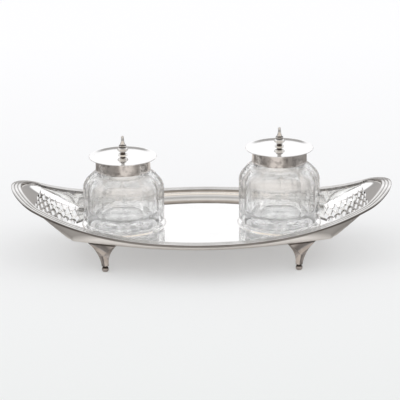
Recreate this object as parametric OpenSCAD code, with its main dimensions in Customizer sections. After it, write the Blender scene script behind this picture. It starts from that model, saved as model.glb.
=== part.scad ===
// Desk inkstand: a boat-shaped silver tray with pierced ends on four bracket feet,
// and two silver-mounted glass inkwells with hinged lids.
// The origin is on the desk under the middle of the tray. X runs along the tray,
// the front of the stand faces -Y, and Z is up.

/* [Tray] */
// Length over the two upswept tips of the rim
tray_length = 280; // [260:1:300]
// Width over the rim at the middle
tray_width = 138; // [134:1:146]
// Height of the rim above the desk at the middle of the tray
rim_height = 26.5; // [25.5:0.5:28]
// How much higher the tips stand than the middle of the rim
tip_rise = 24.7; // [22:0.1:30]
// Height of the floor's upper face above the desk
floor_height = 20.6; // [19:0.1:21.5]
// Thickness of the tray's sheet
sheet = 1; // [0.8:0.1:1.2]
// Flat floor left beyond each bottle's seat ring, before it sweeps up and is pierced
flat_beyond_seat = 4.6; // [4:0.1:6]

/* [Rim border] */
// Width of the reeded border, in plan
border_width = 7.2; // [6:0.1:8]
// Thickness of the border
border_depth = 2.2; // [1.8:0.1:2.6]
// Number of reeds along the border
reeds = 3; // [2:1:4]
// Depth of the grooves between the reeds
reed_groove = 0.5; // [0.3:0.1:0.8]

/* [Pierced ends] */
// Share of each lozenge of the trellis that is cut away
pierced_share = 0.72; // [0.6:0.01:0.8]

/* [Feet] */
// Distance of each toe from the middle of the tray, along the tray
toe_x = 69.7; // [66:0.1:72]
// How far each toe stands outside its bracket, across the tray
toe_splay = 4.6; // [3:0.1:6]
// Width of a foot's bracket where it meets the tray
bracket_width = 23; // [20:0.5:24]
// Width of a foot at its ankle
ankle_width = 5; // [4.6:0.1:6]
// Radius of the bun toe at its widest
toe_radius = 2.5; // [2.3:0.1:3]
// Radius of the flat pad under each toe
pad_radius = 1.8; // [1.4:0.1:2.2]

/* [Bottles] */
// Distance of each bottle's axis from the middle of the tray
bottle_x = 57.2; // [55:0.1:60]
// Outer radius of the bottle's body
body_radius = 29.7; // [28:0.1:31]
// Height of the left bottle's upright wall
body_height = 27.2; // [26:0.1:30]
// How much taller the right bottle is than the left one
right_extra = 5.4; // [0:0.1:6]
// Height of the shoulder, from the upright wall to the neck
shoulder_height = 11.8; // [10:0.1:14]
// Outer radius of the neck
neck_radius = 18.9; // [18:0.1:19]
// Thickness of the glass at the body's wall
glass_wall = 4.8; // [3:0.1:6]
// Thickness of the glass under the ink
glass_base = 7; // [5:0.1:9]
// Radius of the mouth's bore
mouth_radius = 15; // [14.8:0.1:15.5]

/* [Seat rings] */
// Height of the ring on the floor round each bottle's base
seat_height = 1; // [0.6:0.1:1.5]
// Width of that ring
seat_width = 1; // [0.8:0.1:1.2]
// Clearance between a bottle's body and its seat ring
seat_clearance = 0.3; // [0.2:0.05:0.4]

/* [Collars] */
// Outer radius of the silver collar
collar_radius = 20.2; // [20:0.1:21]
// Height of the collar
collar_height = 9.3; // [8.5:0.1:10.5]
// Thickness of the collar's silver
collar_sheet = 0.6; // [0.5:0.05:0.7]
// Height of bare neck showing below the collar
bare_neck = 2.6; // [2:0.1:3.5]
// Radius of the opening in the collar's top
collar_opening = 14.6; // [14.5:0.05:14.7]

/* [Lids] */
// Outer radius of the lid
lid_radius = 24.8; // [24:0.1:26]
// Thickness of the lid at its edge
lid_edge = 0.7; // [0.6:0.1:1]
// Thickness of the lid at its middle
lid_middle = 1.3; // [1.1:0.1:1.8]
// Gap between the closed lid and the collar's top
lid_gap = 0.2; // [0.1:0.05:0.3]
// Depth of the bezel under the lid
bezel_depth = 2.6; // [2:0.1:3]
// Radial clearance between the bezel and the collar's opening
bezel_clearance = 0.3; // [0.28:0.01:0.4]
// Thickness of the bezel
bezel_sheet = 0.6; // [0.5:0.05:0.8]

/* [Finials] */
// Height of the finial above the lid
finial_height = 14.6; // [12:0.1:16]
// Radius of the finial's bulb
bulb_radius = 4; // [3.5:0.1:4.5]
// Radius of the finial's stud, which passes through the lid
stud_radius = 0.9; // [0.7:0.05:1.1]
// Width of the finial's nut across its flats
nut_flats = 4.4; // [4:0.1:5]
// Height of the finial's nut
nut_height = 1.4; // [1.2:0.1:1.8]

/* [Hinges] */
// Radius of the hinge knuckles
knuckle_radius = 1.45; // [1.3:0.05:1.5]
// Length of each of the three knuckles
knuckle_length = 2.6; // [2.2:0.1:3]
// Side play between neighbouring knuckles
knuckle_play = 0.15; // [0.1:0.05:0.2]
// Radius of the hinge pin
pin_radius = 0.6; // [0.5:0.05:0.7]
// Running clearance of the pin in the lid's knuckle
pin_clearance = 0.05; // [0.03:0.01:0.08]
// Clearance round the knuckles to the collar and the lid
knuckle_clearance = 0.15; // [0.12:0.01:0.2]

/* [Hidden] */
$fn = 96;
left = -1;
right = 1;
front = -1;
back = 1;
silver = [0.80, 0.79, 0.77];
glass = [0.86, 0.91, 0.92, 0.55];
plaster = [0.90, 0.88, 0.82];

// Tray outline: a blunt-tipped boat
half_length = tray_length / 2;
half_width = tray_width / 2;
outline_round_share = 0.546;
outline_taper = 0.682;
outline_power = 0.883;
tip_rounding_start = 0.88;
rise_power = 3.34;

// Distance from the middle at which the floor begins to sweep up and to be pierced
sweep_start = bottle_x + body_radius + seat_clearance + seat_width + flat_beyond_seat;

// Stations along the tray, as angles whose sines place them: wide steps at the tips
// and in the middle, and fine ones at the pierced ends, two to each lozenge
tip_angle = 85.5;
pierced_outer_angle = 65.5;
pierced_inner_angle = asin(sweep_start / half_length);
tip_steps = 5;
pierced_steps = 16;
middle_steps = 20;
last_station = 2 * (tip_steps + pierced_steps) + middle_steps;

// Rows across the tray, as shares of its inner half width. The outer three on each
// side turn the sheet up into the wall, which starts at its foot's share
wall_foot_share = 0.96;
tip_wall_foot_share = 0.32;
wall_rows = [for (share = [0, 0.5, 0.8125, 1]) wall_foot_share + (1 - wall_foot_share) * share];
rows = concat(
    [for (j = [3 : -1 : 0]) -wall_rows[j]],
    [-0.64, -0.32, 0, 0.32, 0.64],
    wall_rows
);
row_lean = [90, 65, 30, 0, 0, 0, 0, 0, 0, 0, 30, 65, 90];
last_row = len(rows) - 1;
pierced_rows = [4, 8];
sweep_power = 1.35;
tip_lip = 0.6;

// Feet
tray_underside = floor_height - sheet;
toe_height = 3.4;
toe_neck_height = 0.4;
toe_neck_radius = 1.2;
toe_stud = 0.8;
toe_arc_angle = 60;
toe_arc_steps = 8;
ankle_z = toe_height + toe_neck_height;
foot_flare_power = 2.1;
foot_lean_power = 1.4;
foot_levels = 9;
bracket_x = 71.5;
bracket_inset = 11.8;
bracket_turn_angle = 22;
bracket_depth = 4.4;
ankle_depth = 3.6;

// Heights in a bottle's own frame, whose floor is at 0
neck_foot = body_height + shoulder_height;
collar_foot = neck_foot + bare_neck;
collar_top = collar_foot + collar_height;
lid_underside = collar_top + lid_gap;
foot_radius = 23.5;
foot_rounding = 4.6;
kick_radius = 19;
kick_height = 0.8;
kick_bevel = 1;
cavity_radius = body_radius - glass_wall;
cavity_rounding = 6;
cavity_drop = 2;
mouth_gap = 0.1;
hinge_y = collar_radius + knuckle_radius + knuckle_clearance;
hinge_z = lid_underside - knuckle_radius - knuckle_clearance;
pin_overhang = 0.3;
knuckle_web = 1.2;

// Half width of the rim's outer edge at a distance x from the middle. The fall is 0 in
// the middle, where it is rounded, and 1 at the tip. The sides taper to a blunt end, and
// the last part of each end is rounded off as half an ellipse
function outline_fall(share) =
    (sqrt(pow(share, 2) + pow(outline_round_share, 2)) - outline_round_share)
    / (sqrt(1 + pow(outline_round_share, 2)) - outline_round_share);
function tip_rounding(share) =
    let (along = max(0, (share - tip_rounding_start) / (1 - tip_rounding_start)))
    sqrt(max(0, 1 - along * along));
function outline_y(x) =
    half_width
    * pow(1 - outline_taper * outline_fall(x / half_length), outline_power)
    * tip_rounding(abs(x) / half_length);

// Places of the brackets and the toes across the tray
bracket_y = outline_y(bracket_x) - bracket_inset;
toe_y = bracket_y + toe_splay;

// Height of the rim's top at a distance x from the middle
function rim_z(x) = rim_height + tip_rise * pow(abs(x) / half_length, rise_power);

// Angle of station i
function station_angle(i) =
    i > last_station / 2 ? -station_angle(last_station - i) :
    i <= tip_steps ? -tip_angle + i * (tip_angle - pierced_outer_angle) / tip_steps :
    i <= tip_steps + pierced_steps ?
        -pierced_outer_angle
        + (i - tip_steps) * (pierced_outer_angle - pierced_inner_angle) / pierced_steps :
    -pierced_inner_angle
        + (i - tip_steps - pierced_steps) * 2 * pierced_inner_angle / middle_steps;

// Point of the back half of the outline at an angle, and the outward normal there
function outline_point(a) = [half_length * sin(a), outline_y(half_length * sin(a))];
function outline_normal(a) =
    let (t = outline_point(a + 0.5) - outline_point(a - 0.5))
    [-t[1], t[0]] / norm(t);

// Point a distance d inside the outline at station i, in the back half
function inset(i, d) =
    let (a = station_angle(i))
    outline_point(a) - d * outline_normal(a);

// Height of the border's underside at station i, where the tray's wall ends
function wall_top(i) = rim_z(outline_point(station_angle(i))[0]) - border_depth;

// Height of the tray's bottom at a distance x from the middle: flat, then swept up
sweep_end = inset(last_station, border_width)[0];
sweep_height = wall_top(last_station) - tip_lip - floor_height;
function sweep_share(x) = max(0, (abs(x) - sweep_start) / (sweep_end - sweep_start));
function bottom_z(x) = floor_height + sweep_height * pow(sweep_share(x), sweep_power);

// Share of the wall's height reached at a share v of the half width: a quarter ellipse
function wall_share(v, x) =
    let (foot = wall_foot_share + (tip_wall_foot_share - wall_foot_share) * sweep_share(x))
    let (s = max(0, (abs(v) - foot) / (1 - foot)))
    1 - sqrt(max(0, 1 - s * s));

// Points of the sheet's upper and lower faces at station i and row j
function upper_point(i, j) =
    let (p = inset(i, border_width))
    let (z = bottom_z(p[0]))
    [p[0], rows[j] * p[1], z + (wall_top(i) - z) * wall_share(rows[j], p[0])];
function lower_point(i, j) =
    let (n = outline_normal(station_angle(i)) * sin(row_lean[j]))
    upper_point(i, j) + sheet * [n[0], n[1] * sign(rows[j]), -cos(row_lean[j])];
function sheet_point(face, i, j) = face == 0 ? upper_point(i, j) : lower_point(i, j);

// The grid's squares are split so that every odd point is the middle of a lozenge,
// and a lozenge of the trellis has a smaller lozenge cut from it
function is_odd(i, j) = (i + j) % 2 == 1;
function end_distance(i) = min(i, last_station - i);
function is_pierced(i, j) =
    is_odd(i, j)
    && end_distance(i) > tip_steps && end_distance(i) < tip_steps + pierced_steps
    && j >= pierced_rows[0] && j <= pierced_rows[1];
lozenges = [
    for (i = [0 : last_station], j = [pierced_rows[0] : pierced_rows[1]])
        if (is_pierced(i, j)) [i, j]
];
steps_round = [[1, 0], [0, 1], [-1, 0], [0, -1]];
grid_count = (last_station + 1) * (last_row + 1);
cut_start = 2 * grid_count;

// Places of the sheet's points in the list: the grids of both faces, then the corners
// of the cut lozenges, four to a face
function grid_index(face, i, j) = face * grid_count + i * (last_row + 1) + j;
function cut_index(face, number, corner) = cut_start + number * 8 + face * 4 + corner % 4;
function turned(face, loop) = face == 0 ? loop : [for (k = [len(loop) - 1 : -1 : 0]) loop[k]];

sheet_points = concat(
    [for (face = [0, 1], i = [0 : last_station], j = [0 : last_row]) sheet_point(face, i, j)],
    [
        for (c = lozenges, face = [0, 1], s = steps_round)
            let (middle = sheet_point(face, c[0], c[1]))
            middle + pierced_share * (sheet_point(face, c[0] + s[0], c[1] + s[1]) - middle)
    ]
);

function in_grid(i, j) = i >= 0 && i <= last_station && j >= 0 && j <= last_row;

// Faces of the solid lozenges, or parts of them at the grid's edges
solid_faces = [
    for (face = [0, 1], i = [0 : last_station], j = [0 : last_row], k = [0 : 3])
        let (a = steps_round[k], b = steps_round[(k + 1) % 4])
        if (is_odd(i, j) && !is_pierced(i, j)
            && in_grid(i + a[0], j + a[1]) && in_grid(i + b[0], j + b[1]))
            turned(1 - face, [
                grid_index(face, i, j),
                grid_index(face, i + a[0], j + a[1]),
                grid_index(face, i + b[0], j + b[1])
            ])
];

// Bars of the trellis, and the walls of its openings
bar_faces = [
    for (n = [0 : len(lozenges) - 1], k = [0 : 3], face = [0, 1])
        let (c = lozenges[n], a = steps_round[k], b = steps_round[(k + 1) % 4])
        turned(1 - face, [
            grid_index(face, c[0] + a[0], c[1] + a[1]),
            grid_index(face, c[0] + b[0], c[1] + b[1]),
            cut_index(face, n, k + 1),
            cut_index(face, n, k)
        ])
];
opening_faces = [
    for (n = [0 : len(lozenges) - 1], k = [0 : 3])
        [cut_index(0, n, k), cut_index(1, n, k), cut_index(1, n, k + 1), cut_index(0, n, k + 1)]
];

// Faces that close the sheet along its edges
long_edge_faces = [
    for (i = [0 : last_station - 1], j = [0, last_row])
        turned(j == 0 ? 0 : 1, [
            grid_index(0, i, j), grid_index(0, i + 1, j),
            grid_index(1, i + 1, j), grid_index(1, i, j)
        ])
];
tip_edge_faces = [
    for (i = [0, last_station], j = [0 : last_row - 1])
        turned(i == 0 ? 1 : 0, [
            grid_index(0, i, j), grid_index(0, i, j + 1),
            grid_index(1, i, j + 1), grid_index(1, i, j)
        ])
];

module tray_body() {
    color(silver)
    polyhedron(
        sheet_points,
        concat(solid_faces, bar_faces, opening_faces, long_edge_faces, tip_edge_faces),
        convexity = 12
    );
}

// Cross-section of the border, as [distance inside the outline, height under the top]:
// round reeds on top and a flat underside, with a point where the tray's sheet ends
reed_width = border_width / reeds;
reed_turns = [180, 135, 90, 45];
border_section = concat(
    [
        for (k = [0 : reeds - 1], t = reed_turns)
            [(k + 0.5 + cos(t) / 2) * reed_width, reed_groove * (sin(t) - 1)]
    ],
    [
        [border_width, -reed_groove],
        [border_width, -border_depth],
        [border_width - sheet, -border_depth],
        [reed_width / 3, -border_depth]
    ]
);

// Loop of the border's stations: along the back, then along the front
border_loop = concat(
    [for (i = [0 : last_station]) [i, back]],
    [for (i = [last_station : -1 : 0]) [i, front]]
);

module rim_border() {
    turns = len(border_loop);
    sides = len(border_section);
    points = [
        for (s = border_loop, q = border_section)
            let (p = inset(s[0], q[0]))
            [p[0], s[1] * p[1], rim_z(outline_point(station_angle(s[0]))[0]) + q[1]]
    ];
    faces = [
        for (i = [0 : turns - 1], j = [0 : sides - 1])
            let (m = (i + 1) % turns, n = (j + 1) % sides)
            [i * sides + j, i * sides + n, m * sides + n, m * sides + j]
    ];
    color(silver)
    polyhedron(points, faces, convexity = 8);
}

// A foot's half width and the place of its middle, at a share s of the way up from the
// ankle to the tray
function foot_half(s) =
    (ankle_width + (bracket_width - ankle_width) * pow(s, foot_flare_power)) / 2;
function foot_out(s) = pow(1 - s, foot_lean_power);

// Loop round a foot's leg at a share s of its height: a flat back and a ridged front
function foot_loop(s) =
    let (w = foot_half(s), d = ankle_depth + (bracket_depth - ankle_depth) * s)
    let (z = ankle_z + s * (tray_underside - ankle_z))
    [
        [-w, d / 2, z], [-w, -d / 8, z], [-w * 0.45, -d * 0.38, z], [0, -d / 2, z],
        [w * 0.45, -d * 0.38, z], [w, -d / 8, z], [w, d / 2, z]
    ];

// Bun toe: a flat pad, a round side, and a narrow neck on a stud let into the leg
module toe() {
    ends = cos(toe_arc_angle);
    rotate_extrude()
    polygon(concat(
        [[0, 0]],
        [
            for (k = [0 : toe_arc_steps])
                let (t = toe_arc_angle * (2 * k / toe_arc_steps - 1))
                [
                    pad_radius + (toe_radius - pad_radius) * (cos(t) - ends) / (1 - ends),
                    toe_height / 2 * (1 + sin(t) / sin(toe_arc_angle))
                ]
        ],
        [[toe_neck_radius, toe_height], [toe_neck_radius, ankle_z + toe_stud]],
        [[0, ankle_z + toe_stud]]
    ));
}

// One foot, at the side given in x and in y
module foot(side, face) {
    sides = len(foot_loop(0));
    // Level k is turned with the bracket and moved from the toe to the bracket
    points = [
        for (k = [0 : foot_levels])
            let (s = k / foot_levels, out = foot_out(s), a = bracket_turn_angle * s)
            for (p = foot_loop(s))
                [
                    bracket_x + (toe_x - bracket_x) * out + p[0] * cos(a) - p[1] * sin(a),
                    -bracket_y - (toe_y - bracket_y) * out + p[0] * sin(a) + p[1] * cos(a),
                    p[2]
                ]
    ];
    // Each wall is split into two triangles, because the levels are turned
    walls = [
        for (k = [0 : foot_levels - 1], j = [0 : sides - 1], half = [0, 1])
            let (n = (j + 1) % sides, low = k * sides, high = low + sides)
            half == 0 ? [low + j, high + j, high + n] : [low + j, high + n, low + n]
    ];
    ends = [
        [for (j = [0 : sides - 1]) j],
        [for (j = [sides - 1 : -1 : 0]) foot_levels * sides + j]
    ];
    color(silver)
    mirror([side == left ? 1 : 0, 0, 0])
    mirror([0, face == back ? 1 : 0, 0]) {
        polyhedron(points, concat(walls, ends), convexity = 4);
        translate([toe_x, -toe_y, 0])
        toe();
    }
}

// Puts a piece in its bottle's frame: the left or right one, standing on the floor
module at_bottle(side) {
    translate([side * bottle_x, 0, floor_height])
    children();
}

// Puts a piece of the mount at its height, which is greater on the right bottle
module at_mount(side) {
    at_bottle(side)
    translate([0, 0, side == right ? right_extra : 0])
    children();
}

// A ring made of a section given by its radii and its heights
module ring(inner, outer, low, high) {
    rotate_extrude()
    polygon([[inner, low], [outer, low], [outer, high], [inner, high]]);
}

module seat_ring(side) {
    inner = body_radius + seat_clearance;
    color(silver)
    at_bottle(side)
    ring(inner, inner + seat_width, 0, seat_height);
}

// Points of a quarter ellipse from one corner to the other, ends included
function quarter(centre, across, up, from, to, steps) = [
    for (k = [0 : steps])
        let (a = from + (to - from) * k / steps)
        centre + [across * cos(a), up * sin(a)]
];

module bottle(side) {
    wall_top_z = body_height + (side == right ? right_extra : 0);
    neck_z = wall_top_z + shoulder_height;
    top_z = neck_z + bare_neck + collar_height - collar_sheet - mouth_gap;
    color(glass)
    at_bottle(side)
    rotate_extrude()
    polygon(concat(
        [[0, kick_height], [kick_radius, kick_height], [kick_radius + kick_bevel, 0]],
        quarter([foot_radius, foot_rounding], body_radius - foot_radius, foot_rounding,
            -90, 0, 6),
        quarter([neck_radius, wall_top_z], body_radius - neck_radius, shoulder_height,
            0, 90, 10),
        [[neck_radius, top_z], [mouth_radius, top_z]],
        quarter([mouth_radius, wall_top_z - cavity_drop], cavity_radius - mouth_radius,
            shoulder_height - cavity_drop, 90, 0, 8),
        quarter([cavity_radius - cavity_rounding, glass_base + cavity_rounding],
            cavity_rounding, cavity_rounding, 0, -90, 6),
        [[0, glass_base]]
    ));
}

module collar_cement(side) {
    inner = collar_radius - collar_sheet;
    color(plaster)
    at_mount(side)
    ring(neck_radius, inner, collar_foot + collar_sheet, collar_top - collar_sheet - mouth_gap);
}

module collar(side) {
    inner = collar_radius - collar_sheet;
    color(silver)
    at_mount(side)
    rotate_extrude()
    polygon([
        [inner, collar_foot], [collar_radius, collar_foot], [collar_radius, collar_top],
        [collar_opening, collar_top], [collar_opening, collar_top - collar_sheet],
        [inner, collar_top - collar_sheet]
    ]);
}

// A knuckle lying along X, centred at x, with a web that reaches from its axis
module knuckle(x, web_from, web_to) {
    translate([x - knuckle_length / 2, 0, 0]) {
        rotate([0, 90, 0])
        cylinder(r = knuckle_radius, h = knuckle_length, $fn = 48);
        translate([0, web_from[0], web_from[1]])
        cube([knuckle_length, web_to[0] - web_from[0], web_to[1] - web_from[1]]);
    }
}

// The bore for the hinge pin, long enough to pass through all three knuckles
module pin_bore(clearance) {
    length = 4 * knuckle_length;
    translate([-length / 2, 0, 0])
    rotate([0, 90, 0])
    cylinder(r = pin_radius + clearance, h = length, $fn = 48);
}

module collar_knuckles(side) {
    reach = knuckle_length + knuckle_play;
    color(silver)
    at_mount(side)
    difference() {
        translate([0, hinge_y, hinge_z])
        difference() {
            for (x = [-reach, reach])
                knuckle(x, [-knuckle_radius - knuckle_web, -knuckle_radius], [0, 0]);
            pin_bore(0);
        }
        cylinder(r = collar_radius, h = lid_underside);
    }
}

module hinge_pin(side) {
    length = 3 * knuckle_length + 2 * knuckle_play + 2 * pin_overhang;
    color(silver)
    at_mount(side)
    translate([-length / 2, hinge_y, hinge_z])
    rotate([0, 90, 0])
    cylinder(r = pin_radius, h = length, $fn = 48);
}

module lid(side) {
    color(silver)
    at_mount(side)
    translate([0, 0, lid_underside])
    rotate_extrude()
    polygon([
        [stud_radius, 0], [lid_radius, 0], [lid_radius, lid_edge],
        [lid_radius * 0.8, lid_edge + (lid_middle - lid_edge) * 0.6],
        [lid_radius * 0.5, lid_middle], [stud_radius, lid_middle]
    ]);
}

module lid_bezel(side) {
    outer = collar_opening - bezel_clearance;
    color(silver)
    at_mount(side)
    ring(outer - bezel_sheet, outer, lid_underside - bezel_depth, lid_underside);
}

module lid_knuckle(side) {
    color(silver)
    at_mount(side)
    translate([0, hinge_y, hinge_z])
    difference() {
        knuckle(0, [-knuckle_web, 0], [knuckle_web, knuckle_radius + knuckle_clearance]);
        pin_bore(pin_clearance);
    }
}

// Turned finial: base disc, waist, onion bulb, bead and tapering spire, on a stud that passes
// the lid. Heights along it are shares of the finial's height
module finial(side) {
    h = finial_height;
    spire = 1.05;
    waist = 1.7;
    bead = 2.8;
    base = 3.4;
    bulb_middle = 0.29;
    bulb_rise = 0.165;
    bulb_foot_angle = -62;
    bulb_top_angle = 50;
    color(silver)
    at_mount(side)
    translate([0, 0, lid_underside + lid_middle])
    rotate_extrude()
    polygon(concat(
        [
            [0, -lid_middle - nut_height], [stud_radius, -lid_middle - nut_height],
            [stud_radius, 0], [base, 0], [base, h * 0.05], [waist * 1.25, h * 0.085],
            [waist, h * 0.115]
        ],
        quarter([0, h * bulb_middle], bulb_radius, h * bulb_rise, bulb_foot_angle, bulb_top_angle, 8),
        [[bead, h * 0.45], [bead, h * 0.5], [spire * 1.75, h * 0.575], [spire * 1.35, h * 0.655]],
        [[spire, h * 0.8], [spire, h * 0.96], [spire * 0.6, h], [0, h]]
    ));
}

module finial_nut(side) {
    color(silver)
    at_mount(side)
    translate([0, 0, lid_underside - nut_height])
    difference() {
        cylinder(r = nut_flats / 2 / cos(30), h = nut_height, $fn = 6);
        translate([0, 0, -1])
        cylinder(r = stud_radius, h = nut_height + 2, $fn = 48);
    }
}

tray_body();
rim_border();
foot(left, front);  // front_left_foot
foot(right, front);  // front_right_foot
foot(left, back);  // back_left_foot
foot(right, back);  // back_right_foot
seat_ring(left);  // left_seat_ring
seat_ring(right);  // right_seat_ring
bottle(left);  // left_bottle
bottle(right);  // right_bottle
collar_cement(left);  // left_collar_cement
collar_cement(right);  // right_collar_cement
collar(left);  // left_collar
collar(right);  // right_collar
collar_knuckles(left);  // left_collar_knuckles
collar_knuckles(right);  // right_collar_knuckles
hinge_pin(left);  // left_hinge_pin
hinge_pin(right);  // right_hinge_pin
lid(left);  // left_lid
lid(right);  // right_lid
lid_bezel(left);  // left_lid_bezel
lid_bezel(right);  // right_lid_bezel
lid_knuckle(left);  // left_lid_knuckle
lid_knuckle(right);  // right_lid_knuckle
finial(left);  // left_finial
finial(right);  // right_finial
finial_nut(left);  // left_finial_nut
finial_nut(right);  // right_finial_nut
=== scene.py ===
import math

import bpy
import numpy as np
from mathutils import Matrix, Vector


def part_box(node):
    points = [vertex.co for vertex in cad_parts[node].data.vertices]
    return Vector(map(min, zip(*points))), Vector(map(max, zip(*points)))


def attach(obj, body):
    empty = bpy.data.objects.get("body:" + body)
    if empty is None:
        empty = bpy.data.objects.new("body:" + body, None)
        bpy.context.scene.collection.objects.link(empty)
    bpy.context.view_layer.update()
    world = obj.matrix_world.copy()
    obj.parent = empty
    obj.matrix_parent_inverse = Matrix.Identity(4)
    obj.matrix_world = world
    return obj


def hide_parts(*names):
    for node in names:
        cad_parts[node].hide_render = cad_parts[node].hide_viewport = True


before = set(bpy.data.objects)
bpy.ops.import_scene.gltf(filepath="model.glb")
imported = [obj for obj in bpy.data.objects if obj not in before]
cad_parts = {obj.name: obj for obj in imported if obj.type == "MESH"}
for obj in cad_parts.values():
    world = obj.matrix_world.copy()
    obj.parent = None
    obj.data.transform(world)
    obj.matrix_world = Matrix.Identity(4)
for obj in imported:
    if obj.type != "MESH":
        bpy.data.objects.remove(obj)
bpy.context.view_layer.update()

# Desk inkstand: a boat-shaped silver tray with pierced ends on four bracket feet, and two
# silver-mounted fluted glass inkwells. Everything is in metres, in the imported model's frame.
MM = 0.001

# Camera: a long lens, 18 degrees above the desk
IMAGE_SIDE = 400
LENS = 180
SENSOR = 36
PITCH = math.radians(18)
ROLL = math.radians(0.55)
DISTANCE = 1476 * MM
AIM = Vector((0, 0, 26.9 * MM))
AIM_PIXEL = (201.5, 214.0)

# Tray outline
rim_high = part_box("rim_border")[1]
floor_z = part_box("left_bottle")[0].z
HALF_LENGTH = rim_high.x
HALF_WIDTH = rim_high.y
RIM_HEIGHT = 26.5 * MM
TIP_RISE = rim_high.z - RIM_HEIGHT
OUTLINE_SOFTNESS = 0.546
OUTLINE_TAPER = 0.682
OUTLINE_POWER = 0.883
TIP_ROUNDING_START = 0.88
RISE_POWER = 3.34
SHEET = 1 * MM

# Rim border
BORDER_WIDTH = 7.2 * MM
BORDER_DEPTH = 2.2 * MM
REEDS = 3
REED_GROOVE = 0.5 * MM

# Tray sheet: stations along it are angles whose sines place them, rows are shares of its width.
# The sheet is flat up to a little beyond the seat rings, then sweeps up to each tip
TIP_STEPS, PIERCED_STEPS, MIDDLE_STEPS = 5, 16, 20
FLAT_BEYOND_SEAT = 4.6 * MM
SWEEP_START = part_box("right_seat_ring")[1].x + FLAT_BEYOND_SEAT
SWEEP_POWER = 1.35
TIP_LIP = 0.6 * MM
STATION_ANGLES = (90, 65.5, math.degrees(math.asin(SWEEP_START / HALF_LENGTH)), 0)
WALL_FOOT = 0.96
WALL_FOOT_AT_TIP = 0.32
ROW_SHARES = (0, 0.32, 0.64, WALL_FOOT, 0.98, 0.9925, 1)
LAST_PIERCED_ROW = 2
PIERCED_SHARE = 0.72

# Feet
TOE_X = 69.7 * MM
TOE_SPLAY = 4.6 * MM
BRACKET_X = 71.5 * MM
BRACKET_INSET = 11.8 * MM
BRACKET_TURN = math.radians(22)
BRACKET_HALF = 11.5 * MM
ANKLE_HALF = 2.5 * MM
FOOT_FLARE = 2.1
FOOT_LEAN = 1.4
TOE_HEIGHT = 3.4 * MM
ANKLE_Z = TOE_HEIGHT + 0.4 * MM
TOE_RADIUS = 2.5 * MM
PAD_RADIUS = 1.8 * MM
TOE_NECK = 1.2 * MM
TOE_SHOULDER = 2.2 * MM
ANKLE_DEPTH = 3.6
BRACKET_DEPTH_GAIN = 0.8
FOOT_LEVELS = 26
# The front facet starts at this share of a foot's height and takes this share of its width
FACET_APEX = 0.48
FACET_WIDTH = 0.93

# Wells
FLUTES = 12
FLUTE_DEPTH = 1.2 * MM
STAR_POINTS = 24
STAR_RADIUS = 16 * MM
STAR_DEPTH = 1.1 * MM
GLASS_BASE = 7 * MM
KICK = 0.8 * MM
GLASS_WALL = 4.8 * MM
MOUTH_RADIUS = 15 * MM
SHOULDER = 11.8 * MM
BARE_NECK = 2.6 * MM
BASE_RADIUS = 23.5 * MM
BASE_ROUNDING = 4.6 * MM
KICK_RADIUS = 19 * MM
KICK_BEVEL = 1 * MM
CAVITY_ROUNDING = 6 * MM
CAVITY_DROP = 2 * MM
COLLAR_SHEET = 0.6 * MM
COLLAR_OPENING = 14.6 * MM
COLLAR_BEAD = 0.18 * MM
LID_EDGE = 0.7 * MM
STUD_RADIUS = 0.9 * MM
NECK_RADIUS = 18.9 * MM


def deselect():
    if bpy.context.object and bpy.context.object.mode != "OBJECT":
        bpy.ops.object.mode_set(mode="OBJECT")
    bpy.ops.object.select_all(action="DESELECT")


def activate(piece):
    deselect()
    piece.select_set(True)
    bpy.context.view_layer.objects.active = piece


def edit(piece):
    activate(piece)
    bpy.ops.object.mode_set(mode="EDIT")
    bpy.ops.mesh.select_all(action="SELECT")


def finish_edit():
    bpy.ops.object.mode_set(mode="OBJECT")


def apply_modifiers(piece):
    activate(piece)
    for modifier in list(piece.modifiers):
        bpy.ops.object.modifier_apply(modifier=modifier.name)


def close_and_face_out(piece, merge=0.002 * MM):
    edit(piece)
    bpy.ops.mesh.remove_doubles(threshold=merge)
    bpy.ops.mesh.dissolve_degenerate(threshold=merge)
    bpy.ops.mesh.select_all(action="SELECT")
    bpy.ops.mesh.normals_make_consistent(inside=False)
    finish_edit()


def smooth(piece, angle=35):
    activate(piece)
    bpy.ops.object.shade_smooth_by_angle(angle=math.radians(angle))


# Camera and studio
def make_camera():
    data = bpy.data.cameras.new("camera")
    data.lens = LENS
    data.sensor_width = SENSOR
    data.clip_end = 20
    camera = bpy.data.objects.new("camera", data)
    bpy.context.scene.collection.objects.link(camera)
    turn = Matrix.Rotation(math.radians(90) - PITCH, 4, "X")
    right, up, back = (turn.to_3x3() @ Vector(axis) for axis in ((1, 0, 0), (0, 1, 0), (0, 0, 1)))
    pixel = DISTANCE * SENSOR / LENS / IMAGE_SIDE
    place = AIM + back * DISTANCE
    place += right * (IMAGE_SIDE / 2 - AIM_PIXEL[0]) * pixel
    place += up * (AIM_PIXEL[1] - IMAGE_SIDE / 2) * pixel
    camera.matrix_world = Matrix.Translation(place) @ turn @ Matrix.Rotation(-ROLL, 4, "Z")
    bpy.context.scene.camera = camera


def ramp(nodes, links, source, stops):
    node = nodes.new("ShaderNodeValToRGB")
    elements = node.color_ramp.elements
    while len(elements) < len(stops):
        elements.new(0.5)
    for element, (place, colour) in zip(elements, stops):
        element.position = place
        element.color = (*colour, 1)
    links.new(source, node.inputs["Fac"])
    return node.outputs["Color"]


def background(nodes, colour):
    node = nodes.new("ShaderNodeBackground")
    node.inputs["Color"].default_value = (*colour, 1)
    return node.outputs["Background"]


def chosen(nodes, links, choice, otherwise, when):
    """The shader used when a light path's choice holds, and the one used otherwise."""
    mix = nodes.new("ShaderNodeMixShader")
    links.new(choice, mix.inputs["Fac"])
    links.new(otherwise, mix.inputs[1])
    links.new(when, mix.inputs[2])
    return mix.outputs["Shader"]


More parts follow.
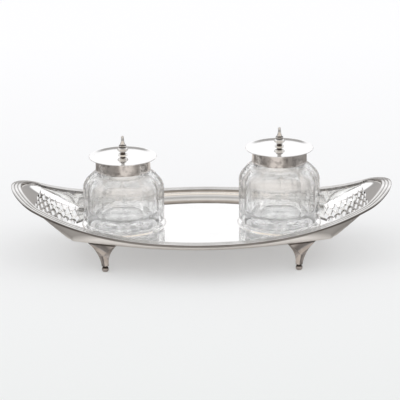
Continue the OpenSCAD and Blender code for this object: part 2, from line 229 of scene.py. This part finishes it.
def make_world():
    """Even pale light. What the metal mirrors is white behind, greyer low down and overhead, and
    warmer with one dark edge on the camera's side."""
    world = bpy.data.worlds.new("studio")
    bpy.context.scene.world = world
    world.use_nodes = True
    nodes, links = world.node_tree.nodes, world.node_tree.links
    nodes.clear()
    where = nodes.new("ShaderNodeTexCoord")
    split = nodes.new("ShaderNodeSeparateXYZ")
    links.new(where.outputs["Generated"], split.inputs["Vector"])
    up = nodes.new("ShaderNodeMapRange")
    up.inputs["From Min"].default_value = -1
    links.new(split.outputs["Z"], up.inputs["Value"])
    depth = nodes.new("ShaderNodeMapRange")
    depth.inputs["From Min"].default_value = -1
    links.new(split.outputs["Y"], depth.inputs["Value"])
    back_sky = ramp(nodes, links, up.outputs["Result"], [
        (0.0, (0.8, 0.8, 0.8)), (0.52, (0.8, 0.79, 0.78)), (0.545, (0.42, 0.4, 0.39)),
        (0.6, (0.36, 0.35, 0.345)), (0.615, (1.05, 1.05, 1.06)), (0.8, (1.05, 1.05, 1.07)),
        (0.9, (0.62, 0.615, 0.61)), (1.0, (0.52, 0.515, 0.51)),
    ])
    front_sky = ramp(nodes, links, up.outputs["Result"], [
        (0.0, (0.75, 0.72, 0.68)), (0.5, (0.8, 0.74, 0.68)), (0.6, (0.92, 0.85, 0.77)),
        (0.7, (0.95, 0.88, 0.81)), (0.725, (0.5, 0.455, 0.42)), (0.785, (0.5, 0.455, 0.42)),
        (0.81, (0.8, 0.78, 0.76)), (1.0, (0.55, 0.54, 0.53)),
    ])
    side = ramp(nodes, links, depth.outputs["Result"], [(0.3, (0, 0, 0)), (0.5, (1, 1, 1))])
    mix = nodes.new("ShaderNodeMix")
    mix.data_type = "RGBA"
    links.new(side, mix.inputs["Factor"])
    links.new(front_sky, mix.inputs["A"])
    links.new(back_sky, mix.inputs["B"])
    mirrored = nodes.new("ShaderNodeBackground")
    links.new(mix.outputs["Result"], mirrored.inputs["Color"])
    through_sky = ramp(nodes, links, up.outputs["Result"], [
        (0.0, (0.8, 0.8, 0.8)), (0.5, (0.86, 0.86, 0.86)), (0.62, (1, 1, 1)), (0.8, (0.98, 0.98, 0.99)),
        (1.0, (0.75, 0.75, 0.76)),
    ])
    through = nodes.new("ShaderNodeBackground")
    links.new(through_sky, through.inputs["Color"])
    path = nodes.new("ShaderNodeLightPath")
    shader = background(nodes, (0.98, 0.98, 0.99))
    shader = chosen(nodes, links, path.outputs["Is Glossy Ray"], shader, mirrored.outputs["Background"])
    shader = chosen(nodes, links, path.outputs["Is Transmission Ray"], shader, through.outputs["Background"])
    paper = background(nodes, (0.97, 0.97, 0.98))
    shader = chosen(nodes, links, path.outputs["Is Camera Ray"], shader, paper)
    output = nodes.new("ShaderNodeOutputWorld")
    links.new(shader, output.inputs["Surface"])


def make_floor():
    bpy.ops.mesh.primitive_plane_add(size=8, location=(0, 0, 0))
    floor = bpy.context.object
    floor.name = "floor"
    material = bpy.data.materials.new("paper sweep")
    material.use_nodes = True
    nodes, links = material.node_tree.nodes, material.node_tree.links
    shader = nodes["Principled BSDF"]
    where = nodes.new("ShaderNodeTexCoord")
    split = nodes.new("ShaderNodeSeparateXYZ")
    links.new(where.outputs["Object"], split.inputs["Vector"])
    depth = nodes.new("ShaderNodeMapRange")
    depth.inputs["From Min"].default_value = -0.35
    depth.inputs["From Max"].default_value = 0.65
    links.new(split.outputs["Y"], depth.inputs["Value"])
    # Painted shade: the paper is coloured darker towards the camera and paler far behind, standing in for
    # the light falling off across the sweep.
    colour = ramp(nodes, links, depth.outputs["Result"], [
        (0.0, (0.84, 0.855, 0.845)), (0.3, (0.9, 0.905, 0.905)), (1.0, (0.975, 0.975, 0.985)),
    ])
    # Painted reflection: seen in the metal, the paper is painted warm near the tray and dark further out,
    # standing in for dim surroundings
    across = nodes.new("ShaderNodeMath")
    across.operation = "ABSOLUTE"
    links.new(split.outputs["X"], across.inputs[0])
    painted_reflection_tone = ramp(nodes, links, across.outputs["Value"], [
        (0.0, (0.82, 0.78, 0.745)), (0.1, (0.8, 0.76, 0.72)), (0.125, (0.32, 0.3, 0.28)),
        (0.3, (0.3, 0.29, 0.28)), (0.7, (0.6, 0.6, 0.6)),
    ])
    path = nodes.new("ShaderNodeLightPath")
    mirrored = nodes.new("ShaderNodeMix")
    mirrored.data_type = "RGBA"
    links.new(path.outputs["Is Glossy Ray"], mirrored.inputs["Factor"])
    links.new(colour, mirrored.inputs["A"])
    links.new(painted_reflection_tone, mirrored.inputs["B"])
    links.new(mirrored.outputs["Result"], shader.inputs["Base Color"])
    shader.inputs["Roughness"].default_value = 0.9
    shader.inputs["Specular IOR Level"].default_value = 0.1
    # A little of the paper's own tone stands for the light that bounces in under the tray
    glow = nodes.new("ShaderNodeEmission")
    links.new(colour, glow.inputs["Color"])
    seen = nodes.new("ShaderNodeMath")
    seen.operation = "MULTIPLY"
    seen.inputs[1].default_value = 0.38
    links.new(path.outputs["Is Camera Ray"], seen.inputs[0])
    shown = chosen(nodes, links, seen.outputs["Value"], shader.outputs["BSDF"], glow.outputs["Emission"])
    links.new(shown, nodes["Material Output"].inputs["Surface"])
    floor.data.materials.append(material)


def make_lamps():
    """One wide soft light above and behind, one weaker from the left."""
    for name, place, size, power in (
        ("back softbox", Vector((0.1, 1.1, 1.5)), 1.4, 1.5),
        ("left softbox", Vector((-1.3, -0.2, 1.1)), 0.9, 0.8),
    ):
        data = bpy.data.lights.new(name, "AREA")
        data.shape = "SQUARE"
        data.size = size
        data.energy = power
        lamp = bpy.data.objects.new(name, data)
        bpy.context.scene.collection.objects.link(lamp)
        lamp.location = place
        lamp.rotation_euler = (-place).to_track_quat("-Z", "Y").to_euler()


# Materials
def new_material(name):
    material = bpy.data.materials.new(name)
    material.use_nodes = True
    nodes, links = material.node_tree.nodes, material.node_tree.links
    return material, nodes, links, nodes["Principled BSDF"]


def noise(nodes, links, scale, detail=3, stretch=None):
    where = nodes.new("ShaderNodeTexCoord")
    source = where.outputs["Object"]
    if stretch:
        mapping = nodes.new("ShaderNodeMapping")
        mapping.inputs["Scale"].default_value = stretch
        links.new(source, mapping.inputs["Vector"])
        source = mapping.outputs["Vector"]
    node = nodes.new("ShaderNodeTexNoise")
    node.inputs["Scale"].default_value = scale
    node.inputs["Detail"].default_value = detail
    links.new(source, node.inputs["Vector"])
    return node.outputs["Fac"]


def mapped(nodes, links, source, low, high, from_low=0.3, from_high=0.7):
    node = nodes.new("ShaderNodeMapRange")
    node.inputs["From Min"].default_value = from_low
    node.inputs["From Max"].default_value = from_high
    node.inputs["To Min"].default_value = low
    node.inputs["To Max"].default_value = high
    links.new(source, node.inputs["Value"])
    return node.outputs["Result"]


def silver(name, polish_and_shade, roughness, wave, tarnish, with_tarnish_and_shade_mark=False, patch=45):
    """Polished silver: faint smears, fine rubbing marks, tarnish in random spots, and painted shade, with
    some tarnish, in recesses marked on the mesh.
    """
    material, nodes, links, shader = new_material(name)
    shader.inputs["Metallic"].default_value = 1
    tarnish_and_shade = mapped(nodes, links, noise(nodes, links, patch, 5), 0, tarnish, 0.45, 0.7)
    if with_tarnish_and_shade_mark:
        tarnish_and_shade_mark = nodes.new("ShaderNodeAttribute")
        tarnish_and_shade_mark.attribute_name = "tarnish_and_shade_mark"
        add = nodes.new("ShaderNodeMath")
        add.operation = "ADD"
        add.use_clamp = True
        links.new(tarnish_and_shade, add.inputs[0])
        links.new(tarnish_and_shade_mark.outputs["Fac"], add.inputs[1])
        tarnish_and_shade = add.outputs["Value"]
    # Colour A is the silver's tone, darkened on the rim, collar and foot copies as painted shade; colour B
    # is tarnish where the noise falls and painted shade where the mark attribute is set.
    mix = nodes.new("ShaderNodeMix")
    mix.data_type = "RGBA"
    mix.inputs["A"].default_value = (*polish_and_shade, 1)
    mix.inputs["B"].default_value = (0.1, 0.085, 0.075, 1)
    links.new(tarnish_and_shade, mix.inputs["Factor"])
    links.new(mix.outputs["Result"], shader.inputs["Base Color"])
    smears = noise(nodes, links, 110, 6)
    links.new(mapped(nodes, links, smears, *roughness), shader.inputs["Roughness"])
    rubbing = noise(nodes, links, 700, 4, (1, 0.12, 1))
    waves = noise(nodes, links, 130, 2)
    mark = nodes.new("ShaderNodeBump")
    mark.inputs["Strength"].default_value = 0.25
    mark.inputs["Distance"].default_value = 0.004 * MM
    links.new(rubbing, mark.inputs["Height"])
    bump = nodes.new("ShaderNodeBump")
    bump.inputs["Strength"].default_value = 1
    bump.inputs["Distance"].default_value = wave * MM
    links.new(waves, bump.inputs["Height"])
    links.new(mark.outputs["Normal"], bump.inputs["Normal"])
    links.new(bump.outputs["Normal"], shader.inputs["Normal"])
    return material


def clear_glass():
    """Clear lead glass with a faint ripple and a little dust."""
    material, nodes, links, shader = new_material("clear glass")
    shader.inputs["Base Color"].default_value = (0.985, 0.99, 0.99, 1)
    shader.inputs["Alpha"].default_value = 0.74
    shader.inputs["Transmission Weight"].default_value = 1
    shader.inputs["IOR"].default_value = 1.45
    dust = noise(nodes, links, 260, 5)
    links.new(mapped(nodes, links, dust, 0.0, 0.03, 0.5, 0.8), shader.inputs["Roughness"])
    bump = nodes.new("ShaderNodeBump")
    bump.inputs["Strength"].default_value = 1
    bump.inputs["Distance"].default_value = 0.03 * MM
    links.new(noise(nodes, links, 90, 2), bump.inputs["Height"])
    links.new(bump.outputs["Normal"], shader.inputs["Normal"])
    return material


def plaster():
    material, nodes, links, shader = new_material("set plaster")
    colour = ramp(nodes, links, noise(nodes, links, 800, 5), [
        (0.3, (0.66, 0.62, 0.54)), (0.7, (0.82, 0.79, 0.72)),
    ])
    links.new(colour, shader.inputs["Base Color"])
    shader.inputs["Roughness"].default_value = 0.85
    bump = nodes.new("ShaderNodeBump")
    bump.inputs["Strength"].default_value = 0.6
    bump.inputs["Distance"].default_value = 0.05 * MM
    links.new(noise(nodes, links, 1500, 4), bump.inputs["Height"])
    links.new(bump.outputs["Normal"], shader.inputs["Normal"])
    return material


def mark_painted_shade(piece, shade_at):
    """Stores how dark each point is painted: painted shade in recesses and under overhangs."""
    tarnish_and_shade_mark = piece.data.attributes.new("tarnish_and_shade_mark", "FLOAT", "POINT")
    for vertex in piece.data.vertices:
        tarnish_and_shade_mark.data[vertex.index].value = shade_at(vertex.co)


def dress(piece, material, slot, body, *nodes):
    """Gives a piece its finish, the body it rides on and the nodes that it stands for."""
    piece.data.materials.clear()
    piece.data.materials.append(material)
    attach(piece, body)
    if nodes:
        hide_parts(*nodes)


# Outline of the tray. A turn of 0 is the middle of the back, 90 the right tip, 180 the front
def outline_y(x):
    share = abs(x) / HALF_LENGTH
    spare = math.hypot(1, OUTLINE_SOFTNESS) - OUTLINE_SOFTNESS
    fall = (math.hypot(share, OUTLINE_SOFTNESS) - OUTLINE_SOFTNESS) / spare
    along = max(0.0, (share - TIP_ROUNDING_START) / (1 - TIP_ROUNDING_START))
    rounding = math.sqrt(max(0.0, 1 - along * along))
    return HALF_WIDTH * (1 - OUTLINE_TAPER * fall) ** OUTLINE_POWER * rounding


def outline_point(turn):
    x = HALF_LENGTH * math.sin(turn)
    return Vector((x, math.copysign(outline_y(x), math.cos(turn))))


def inset(turn, distance):
    step = math.radians(0.5)
    along = outline_point(turn + step) - outline_point(turn - step)
    outward = Vector((-along.y, along.x)).normalized()
    return outline_point(turn) - distance * outward


def rim_z(turn):
    return RIM_HEIGHT + TIP_RISE * abs(math.sin(turn)) ** RISE_POWER


def wall_top(turn):
    return rim_z(turn) - BORDER_DEPTH


SWEEP_END = inset(math.radians(90), BORDER_WIDTH).x
SWEEP_HEIGHT = wall_top(math.radians(90)) - TIP_LIP - floor_z


def between(steps, marks, values):
    """The value at a number of steps, along straight lines between the marks."""
    return float(np.interp(steps, marks, values))


def sheet_place(steps_along, rows_across):
    """A point of the tray's upper face, from its steps along and its rows across the middle."""
    marks = np.cumsum([0, MIDDLE_STEPS / 2, PIERCED_STEPS, TIP_STEPS])
    turn = math.radians(between(abs(steps_along), marks, STATION_ANGLES[::-1]))
    edge = inset(math.copysign(turn, steps_along), BORDER_WIDTH)
    share = between(abs(rows_across), range(len(ROW_SHARES)), ROW_SHARES)
    sweep = max(0.0, (abs(edge.x) - SWEEP_START) / (SWEEP_END - SWEEP_START))
    bottom = floor_z + SWEEP_HEIGHT * sweep ** SWEEP_POWER
    foot = WALL_FOOT + (WALL_FOOT_AT_TIP - WALL_FOOT) * sweep
    climb = max(0.0, (share - foot) / (1 - foot))
    rise = 1 - math.sqrt(max(0.0, 1 - climb * climb))
    return Vector((
        edge.x,
        math.copysign(share, rows_across) * max(0.0, edge.y),
        bottom + (wall_top(turn) - bottom) * rise,
    ))


def make_tray(metal):
    """The sheet starts flat, ruled into lozenges, and is raised into its shape once it is pierced."""
    last_station = MIDDLE_STEPS / 2 + PIERCED_STEPS + TIP_STEPS
    last_row = len(ROW_SHARES) - 1
    count = 2 * math.ceil((last_station + last_row) / 2) + 1
    deselect()
    bpy.ops.mesh.primitive_grid_add(
        x_subdivisions=count, y_subdivisions=count, size=count * math.sqrt(2), location=(0, 0, 0)
    )
    tray = bpy.context.object
    tray.name = "raised_tray"
    tray.data.transform(Matrix.Rotation(math.radians(45), 4, "Z"))
    edit(tray)
    for place, outward in (
        ((last_station, 0, 0), (1, 0, 0)), ((-last_station, 0, 0), (-1, 0, 0)),
        ((0, last_row, 0), (0, 1, 0)), ((0, -last_row, 0), (0, -1, 0)),
    ):
        bpy.ops.mesh.select_all(action="SELECT")
        bpy.ops.mesh.bisect(plane_co=place, plane_no=outward, clear_outer=True)
    bpy.ops.mesh.select_all(action="DESELECT")
    finish_edit()
    first = MIDDLE_STEPS / 2
    last = first + PIERCED_STEPS
    for face in tray.data.polygons:
        x, y = abs(face.center.x), abs(face.center.y)
        face.select = first + 0.9 < x < last - 0.9 and y < LAST_PIERCED_ROW + 0.1
    edit_keeping_selection(tray)
    bpy.ops.mesh.inset(use_individual=True, thickness=(1 - PIERCED_SHARE) / math.sqrt(2))
    bpy.ops.mesh.delete(type="FACE")
    bpy.ops.mesh.select_all(action="SELECT")
    bpy.ops.mesh.subdivide(number_cuts=5)
    finish_edit()
    for vertex in tray.data.vertices:
        vertex.co = sheet_place(vertex.co.x, vertex.co.y)
    close_and_face_out(tray)
    if tray.data.polygons[len(tray.data.polygons) // 2].normal.z < 0:
        tray.data.flip_normals()
    wall = tray.modifiers.new("sheet", "SOLIDIFY")
    wall.thickness = SHEET
    wall.offset = -1
    apply_modifiers(tray)
    smooth(tray, 40)
    dress(tray, metal, "silver", "tray", "tray_body")


def edit_keeping_selection(piece):
    activate(piece)
    bpy.ops.object.mode_set(mode="EDIT")


def border_section():
    """Points of the border's section as (distance inside the outline, height under the top, darkening):
    tarnish in the reed hollows, painted shade on the inner face and underside.
    """
    width = BORDER_WIDTH / REEDS
    points = []
    # Each reed hollow is darkened, partly tarnish and partly painted shade drawn wide as a dark line.
    for reed in range(REEDS):
        for step in range(9):
            turn = math.radians(180 - 180 * step / 9)
            points.append((
                (reed + 0.5 + math.cos(turn) / 2) * width,
                REED_GROOVE * (math.sin(turn) - 1),
                0.85 * (1 - math.sin(turn)) ** 1.6,
            ))
    # Painted shade: the inner face, the underside and the lower outer edge are marked dark, as if shaded
    # under the lip.
    inner = BORDER_WIDTH
    points.append((inner, -REED_GROOVE, 0.75))
    points.append((inner, -BORDER_DEPTH * 0.6, 0.6))
    points.append((inner, -BORDER_DEPTH, 0.6))
    points.append((inner - SHEET, -BORDER_DEPTH, 0.6))
    points.append((width, -BORDER_DEPTH, 0.1))
    points.append((width / 3, -BORDER_DEPTH, 0.5))
    points.append((width / 9, -BORDER_DEPTH * 0.7, 0.6))
    return points


def make_border(metal):
    section = border_section()
    stations = 256
    deselect()
    bpy.ops.mesh.primitive_torus_add(
        major_segments=stations, minor_segments=len(section), major_radius=HALF_LENGTH,
        minor_radius=BORDER_DEPTH, location=(0, 0, 0),
    )
    border = bpy.context.object
    border.name = "reeded_border"
    tarnish_and_shade_mark = border.data.attributes.new("tarnish_and_shade_mark", "FLOAT", "POINT")
    for index, vertex in enumerate(border.data.vertices):
        turn = 2 * math.pi * (index // len(section)) / stations
        # The third value is painted darkening: tarnish in the reed hollows, painted shade on the inner face
        # and underside.
        across, height, depth = section[index % len(section)]
        place = inset(turn, across)
        vertex.co = (place.x, place.y, rim_z(turn) + height)
        tarnish_and_shade_mark.data[index].value = depth
    close_and_face_out(border, 0.0005 * MM)
    smooth(border, 50)
    dress(border, metal, "silver", "tray", "rim_border")


def foot_ring(share, sides):
    """Points round a foot's leg at a share of its height: a flat back, and a front with a facet."""
    half = ANKLE_HALF + (BRACKET_HALF - ANKLE_HALF) * share ** FOOT_FLARE
    depth = (ANKLE_DEPTH + BRACKET_DEPTH_GAIN * share) * MM
    above = max(0.0, share - FACET_APEX)
    facet = min(FACET_WIDTH, BRACKET_HALF * FACET_WIDTH * above / (1 - FACET_APEX) / half)
    corners = [
        (-half, depth / 2), (-half, depth * 0.05), (-half * (0.35 + 0.65 * facet), -depth * 0.34),
        (-half * facet, -depth / 2), (half * facet, -depth / 2),
        (half * (0.35 + 0.65 * facet), -depth * 0.34), (half, depth * 0.05), (half, depth / 2),
    ]
    ring = []
    for corner, after in zip(corners, corners[1:] + corners[:1]):
        for step in range(sides):
            ring.append(Vector(corner).lerp(Vector(after), step / sides))
    return ring


def make_foot(name, side, face, metal):
    """A leg extruded up from its ankle, level by level, and shaped; then a turned toe is let in."""
    first = foot_ring(0, 2)
    count = len(first)
    under = floor_z - SHEET
    bracket_y = outline_y(BRACKET_X) - BRACKET_INSET
    deselect()
    bpy.ops.mesh.primitive_circle_add(
        vertices=count, radius=ANKLE_HALF, fill_type="NGON", location=(0, 0, 0)
    )
    foot = bpy.context.object
    foot.name = name
    edit(foot)
    for _ in range(FOOT_LEVELS):
        bpy.ops.mesh.extrude_region_move(TRANSFORM_OT_translate={"value": (0, 0, MM)})
    finish_edit()
    rings = {}
    for vertex in foot.data.vertices:
        rings.setdefault(round(vertex.co.z / MM), []).append(vertex)
    for level, ring in rings.items():
        share = level / FOOT_LEVELS
        out = (1 - share) ** FOOT_LEAN
        turn = BRACKET_TURN * share
        ring.sort(key=lambda vertex: math.atan2(vertex.co.y, vertex.co.x))
        for vertex, p in zip(ring, foot_ring(share, 2)):
            vertex.co = (
                BRACKET_X + (TOE_X - BRACKET_X) * out + p.x * math.cos(turn) - p.y * math.sin(turn),
                -bracket_y - TOE_SPLAY * out + p.x * math.sin(turn) + p.y * math.cos(turn),
                ANKLE_Z + share * (under - ANKLE_Z),
            )
    toe = turned(name + "_toe", [
        (0, 0), (PAD_RADIUS, 0), (TOE_SHOULDER, 0.45 * MM), (TOE_RADIUS, 1.2 * MM), (TOE_RADIUS, 2.1 * MM),
        (TOE_SHOULDER, 2.9 * MM), (1.7 * MM, 3.3 * MM), (TOE_NECK, TOE_HEIGHT), (TOE_NECK, ANKLE_Z),
        (0, ANKLE_Z),
    ], 40)
    toe.data.transform(Matrix.Translation((TOE_X, -bracket_y - TOE_SPLAY, 0)))
    activate(toe)
    foot.select_set(True)
    bpy.context.view_layer.objects.active = foot
    bpy.ops.object.join()
    foot.data.transform(Matrix.Diagonal((side, -face, 1, 1)))
    close_and_face_out(foot, 0.01 * MM)

    # Painted shade: the toe's neck is painted dark, and so is a band along the top where the foot meets the
    # underside of the tray.
    def dark(place):
        if TOE_HEIGHT - 0.9 * MM < place.z < ANKLE_Z + 0.2 * MM:
            return 1.0
        return 0.9 if place.z > under - 0.7 * MM else 0.0

    mark_painted_shade(foot, dark)
    smooth(foot, 22)
    dress(foot, metal, "silver", "tray", name.replace("_bracket", ""))


def turned(name, profile, steps=96):
    """A turned piece: its profile, as (radius, height), is drawn point by point and spun."""
    deselect()
    bpy.ops.mesh.primitive_plane_add(size=MM, location=(0, 0, 0))
    piece = bpy.context.object
    piece.name = name
    edit(piece)
    bpy.ops.mesh.merge(type="CENTER")
    pen = Vector((0, 0, 0))
    for number, (radius, height) in enumerate(profile):
        move = Vector((radius, 0, height)) - pen
        if number:
            bpy.ops.mesh.extrude_region_move(TRANSFORM_OT_translate={"value": move})
        else:
            bpy.ops.transform.translate(value=move)
        pen += move
    bpy.ops.mesh.select_all(action="SELECT")
    bpy.ops.mesh.spin(steps=steps, angle=2 * math.pi, center=(0, 0, 0), axis=(0, 0, 1))
    finish_edit()
    close_and_face_out(piece)
    return piece


def arc(centre, across, up, start, end, steps):
    """Points of a quarter ellipse, ends included."""
    return [
        (
            centre[0] + across * math.cos(math.radians(start + (end - start) * k / steps)),
            centre[1] + up * math.sin(math.radians(start + (end - start) * k / steps)),
        )
        for k in range(steps + 1)
    ]


def make_bottle(side, x, glass):
    low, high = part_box(side + "_bottle")
    body = (high.x - low.x) / 2
    top = high.z - low.z
    collar_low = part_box(side + "_collar")[0].z - low.z
    neck_z = collar_low - BARE_NECK
    wall_z = neck_z - SHOULDER
    cavity = body - GLASS_WALL
    outer = arc((BASE_RADIUS, BASE_ROUNDING), body - BASE_RADIUS, BASE_ROUNDING, -90, 0, 8)
    outer += [(body, BASE_ROUNDING + (wall_z - BASE_ROUNDING) * k / 6) for k in range(1, 6)]
    outer += arc((NECK_RADIUS, wall_z), body - NECK_RADIUS, SHOULDER, 0, 90, 18)
    profile = [(0, KICK)] + [(STAR_RADIUS * k / 6, KICK) for k in range(1, 7)]
    profile += [(KICK_RADIUS, KICK), (KICK_RADIUS + KICK_BEVEL, 0)] + outer
    profile += [(NECK_RADIUS, top), (MOUTH_RADIUS, top)]
    profile += arc(
        (MOUTH_RADIUS, wall_z - CAVITY_DROP), cavity - MOUTH_RADIUS, SHOULDER - CAVITY_DROP, 90, 0, 14
    )
    profile += arc(
        (cavity - CAVITY_ROUNDING, GLASS_BASE + CAVITY_ROUNDING), CAVITY_ROUNDING, CAVITY_ROUNDING, 0, -90, 8
    )
    profile += [(0, GLASS_BASE)]
    bottle = turned(side + "_fluted_bottle", profile, FLUTES * 14)
    for vertex in bottle.data.vertices:
        radius = math.hypot(vertex.co.x, vertex.co.y)
        height = vertex.co.z
        flute = flute_depth(radius, height, body, wall_z, neck_z, cavity)
        if flute > 0:
            around = math.atan2(vertex.co.x, -vertex.co.y) / (2 * math.pi / FLUTES)
            ridge = abs(around - round(around)) * 2
            keep = 1 - flute * (1 - (1 - ridge) ** 2) / radius
            vertex.co.x *= keep
            vertex.co.y *= keep
        if radius < STAR_RADIUS and height < KICK + 0.1 * MM:
            around = math.atan2(vertex.co.x, -vertex.co.y) / (2 * math.pi / STAR_POINTS)
            point = 1 - abs(around - round(around)) * 2
            share = radius / STAR_RADIUS
            vertex.co.z += STAR_DEPTH * point * 4 * share * (1 - share)
    bottle.data.transform(Matrix.Translation((x, 0, low.z)))
    smooth(bottle, 30)
    dress(bottle, glass, "glass", side + "_inkwell", side + "_bottle")


def flute_depth(radius, height, body, wall_z, neck_z, cavity):
    """How deep the flutes are cut at a point of the profile: none on the foot, the neck and inside."""
    inside_wall = height < wall_z and radius < cavity + 0.3 * MM and height > GLASS_BASE - MM
    if inside_wall or height < 0.1 * MM or height > neck_z:
        return 0.0
    if height > wall_z:
        centre = (height - wall_z) / SHOULDER
        outer = NECK_RADIUS + (body - NECK_RADIUS) * math.sqrt(max(0.0, 1 - centre ** 2))
        if radius < outer - 0.2 * MM:
            return 0.0
        return FLUTE_DEPTH * min(1.0, 3 * (1 - centre))
    if radius < 20.5 * MM:
        return 0.0
    return FLUTE_DEPTH * min(1.0, height / (3 * MM))


def make_collar(side, x, metal):
    low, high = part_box(side + "_collar")
    radius = (high.x - low.x) / 2
    height = high.z - low.z
    sheet, opening = COLLAR_SHEET, COLLAR_OPENING
    profile = [
        (radius - sheet, 0), (radius - 0.15 * MM, 0), (radius, 0.15 * MM), (radius, 0.7 * MM),
        (radius - COLLAR_BEAD, 0.9 * MM), (radius - COLLAR_BEAD, height - 0.9 * MM),
        (radius, height - 0.7 * MM), (radius, height - 0.25 * MM), (radius - 0.25 * MM, height),
        (opening + 0.2 * MM, height),
        (opening, height - 0.2 * MM), (opening, height - sheet), (radius - sheet, height - sheet),
        (radius - sheet, 0),
    ]
    collar = turned(side + "_silver_collar", profile, 128)
    collar.data.transform(Matrix.Translation((x, 0, low.z)))
    smooth(collar, 40)
    dress(collar, metal, "silver", side + "_inkwell", side + "_collar")


def make_lid(side, x, metal):
    low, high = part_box(side + "_lid")
    radius = (high.x - low.x) / 2
    height = high.z - low.z
    bore, edge = STUD_RADIUS, LID_EDGE
    profile = [
        (bore, 0), (radius - 0.3 * MM, 0), (radius, 0.2 * MM), (radius, edge - 0.15 * MM),
        (radius - 0.2 * MM, edge), (radius * 0.94, edge + 0.02 * MM),
        (radius * 0.8, edge + (height - edge) * 0.6), (radius * 0.65, edge + (height - edge) * 0.85),
        (radius * 0.5, height), (bore, height), (bore, 0),
    ]
    lid = turned(side + "_disc_lid", profile, 128)
    lid.data.transform(Matrix.Translation((x, 0, low.z)))
    smooth(lid, 30)
    dress(lid, metal, "silver", side + "_lid_set", side + "_lid")


def make_finial(side, x, metal):
    low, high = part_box(side + "_finial")
    lid_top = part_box(side + "_lid")[1].z
    h = high.z - lid_top
    stud = STUD_RADIUS
    base, waist, bulb, bead, spire = 3.4 * MM, 1.7 * MM, 4 * MM, 2.8 * MM, 1.05 * MM
    profile = [(0, low.z - lid_top), (stud, low.z - lid_top), (stud, 0), (base - 0.15 * MM, 0)]
    profile += [(base, h * 0.012), (base, h * 0.038), (base - 0.2 * MM, h * 0.05)]
    profile += arc((waist + 1.1 * MM, h * 0.118), -1.1 * MM, -h * 0.06, 90, 0, 6)
    profile += arc((0, h * 0.29), bulb, h * 0.165, -62, 50, 20)
    profile += [(2.35 * MM, h * 0.43), (bead - 0.15 * MM, h * 0.445), (bead, h * 0.465), (bead, h * 0.485)]
    profile += [(bead - 0.15 * MM, h * 0.505), (2.1 * MM, h * 0.53), (spire * 1.75, h * 0.575)]
    profile += [(spire * 1.35, h * 0.655), (spire * 1.12, h * 0.73), (spire, h * 0.8), (spire, h * 0.95)]
    profile += [(spire * 0.85, h * 0.98), (spire * 0.5, h * 0.995), (0, h)]
    finial = turned(side + "_turned_finial", profile, 64)

    # Painted shade in the waist under the base and in the hollows on either side of the bead.
    def dark(place):
        share = place.z / h
        if 0.07 < share < 0.16:
            return 1.0
        if 0.4 < share < 0.45 or 0.5 < share < 0.54:
            return 0.85
        return 0.0

    mark_painted_shade(finial, dark)
    finial.data.transform(Matrix.Translation((x, 0, lid_top)))
    smooth(finial, 40)
    dress(finial, metal, "silver", side + "_lid_set", side + "_finial")


def make_seat_ring(side, x, metal):
    low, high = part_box(side + "_seat_ring")
    outer = (high.x - low.x) / 2
    inner = outer - 1 * MM
    height = high.z - low.z
    profile = [(inner, 0)] + arc(((inner + outer) / 2, height * 0.4), -0.5 * MM, height * 0.6, 0, 180, 10)
    profile += [(outer, 0), (inner, 0)]
    ring = turned(side + "_wire_ring", profile, 128)
    ring.data.transform(Matrix.Translation((x, 0, low.z)))
    smooth(ring, 50)
    dress(ring, metal, "silver", "tray", side + "_seat_ring")


make_camera()
make_world()
make_floor()
make_lamps()

# The rim, collar and foot copies of this silver get darker base colours as painted shade, the feet darkest,
# as they stand in shade under the tray; the tray and lids keep the bright tone.
tray_silver = silver("tray silver", (0.98, 0.975, 0.965), (0.02, 0.06), 0.006, 0.05)
rim_silver = silver("rim silver", (0.78, 0.77, 0.755), (0.05, 0.12), 0.01, 0.15, with_tarnish_and_shade_mark=True)
lid_silver = silver("lid silver", (0.98, 0.975, 0.965), (0.04, 0.1), 0.008, 0.05)
collar_silver = silver("collar silver", (0.8, 0.765, 0.735), (0.1, 0.22), 0.05, 0.65, patch=300)
finial_silver = silver(
    "finial silver", (0.8, 0.785, 0.765), (0.06, 0.14), 0.01, 0.3, with_tarnish_and_shade_mark=True, patch=200
)
foot_silver = silver(
    "foot silver", (0.52, 0.49, 0.475), (0.05, 0.12), 0.01, 0.3, with_tarnish_and_shade_mark=True, patch=200
)
glass = clear_glass()
set_plaster = plaster()

make_tray(tray_silver)
make_border(rim_silver)
for face_name, face in (("front", 1), ("back", -1)):
    for side_name, side in (("left", -1), ("right", 1)):
        make_foot(f"{face_name}_{side_name}_bracket_foot", side, face, foot_silver)
for side_name in ("left", "right"):
    low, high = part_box(side_name + "_bottle")
    centre = (low.x + high.x) / 2
    make_seat_ring(side_name, centre, tray_silver)
    make_bottle(side_name, centre, glass)
    make_collar(side_name, centre, collar_silver)
    make_lid(side_name, centre, lid_silver)
    make_finial(side_name, centre, finial_silver)
    for part, material, slot in (
        ("collar_cement", set_plaster, "plaster"), ("collar_knuckles", collar_silver, "silver"),
        ("hinge_pin", finial_silver, "silver"), ("lid_bezel", lid_silver, "silver"),
        ("lid_knuckle", lid_silver, "silver"), ("finial_nut", finial_silver, "silver"),
    ):
        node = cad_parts[f"{side_name}_{part}"]
        node.data.materials.clear()
        node.data.materials.append(material)

bpy.context.scene.view_settings.view_transform = "Standard"
deselect()
bpy.context.view_layer.update()
